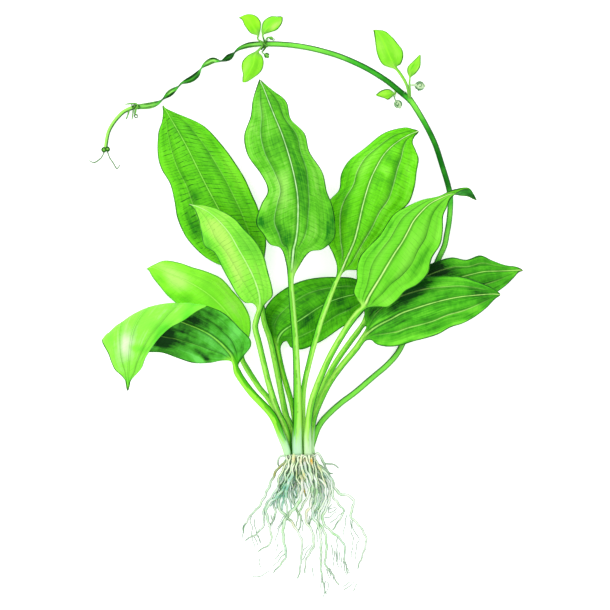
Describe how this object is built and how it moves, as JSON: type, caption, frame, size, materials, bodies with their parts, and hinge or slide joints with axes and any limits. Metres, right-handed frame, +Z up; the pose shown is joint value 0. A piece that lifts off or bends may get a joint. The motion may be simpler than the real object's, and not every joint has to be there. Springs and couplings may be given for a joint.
{
  "type": "amazon sword plant",
  "caption": "Rooted aquarium plant lying down: a rosette of broad stalked leaves on a short crown, an arching twisted runner with young plantlets, and long pale roots.",
  "frame": {"origin": "The middle of the plant's footprint, on the surface that it lies on.", "axes": "The plant lies on its back: +Y runs from the roots to the leaf tips, +X is to the right as seen from above, and +Z is up from the surface."},
  "size_m": [0.4359, 0.5805, 0.074],
  "materials": {
    "crown": "satin",
    "leaf_bright": "satin",
    "leaf_shaded": "satin",
    "leaf_young": "satin",
    "runner": "satin",
    "bud": "satin",
    "root": "matte"
  },
  "bodies": {
    "root": {"crown": "crown", "leaf_centre": "leaf_bright", "leaf_upper_right": "leaf_bright", "leaf_right": "leaf_bright", "leaf_low_left": "leaf_bright", "leaf_front_left": "leaf_bright", "leaf_folded_left": "leaf_bright", "leaf_back_left": "leaf_bright", "leaf_behind_centre": "leaf_shaded", "leaf_back_right": "leaf_shaded", "leaf_front_right": "leaf_shaded", "runner_lower": "runner", "runner_middle": "runner", "runner_twisted": "runner", "runner_end": "runner", "plantlet_right_leaf_large": "leaf_young", "plantlet_right_leaf_small": "leaf_young", "plantlet_right_leaf_low": "leaf_young", "plantlet_top_leaf_left": "leaf_young", "plantlet_top_leaf_right": "leaf_young", "plantlet_top_leaf_low": "leaf_young", "plantlet_right_bud_upper": "bud", "plantlet_right_bud_lower": "bud", "plantlet_top_bud_upper": "bud", "plantlet_top_bud_lower": "bud", "node_bract_upper": "bud", "node_bract_lower": "bud", "runner_end_bud": "bud", "runner_tendril_left": "bud", "runner_tendril_right": "bud", "root_left_inner": "root", "root_middle_low": "root", "root_right_low": "root", "root_left_far": "root", "root_right_far": "root", "root_centre_left": "root", "root_centre_short": "root", "root_left_hooked": "root", "root_right_outer": "root", "root_right_mid": "root", "root_left_mid": "root", "root_right_curved": "root", "root_centre_right": "root", "root_centre_thick": "root", "root_left_thick": "root", "root_centre_wavy": "root", "root_centre_hooked": "root", "root_loop_left": "root", "root_loop_right": "root", "root_branch_right": "root"}
  },
  "joints": []
}
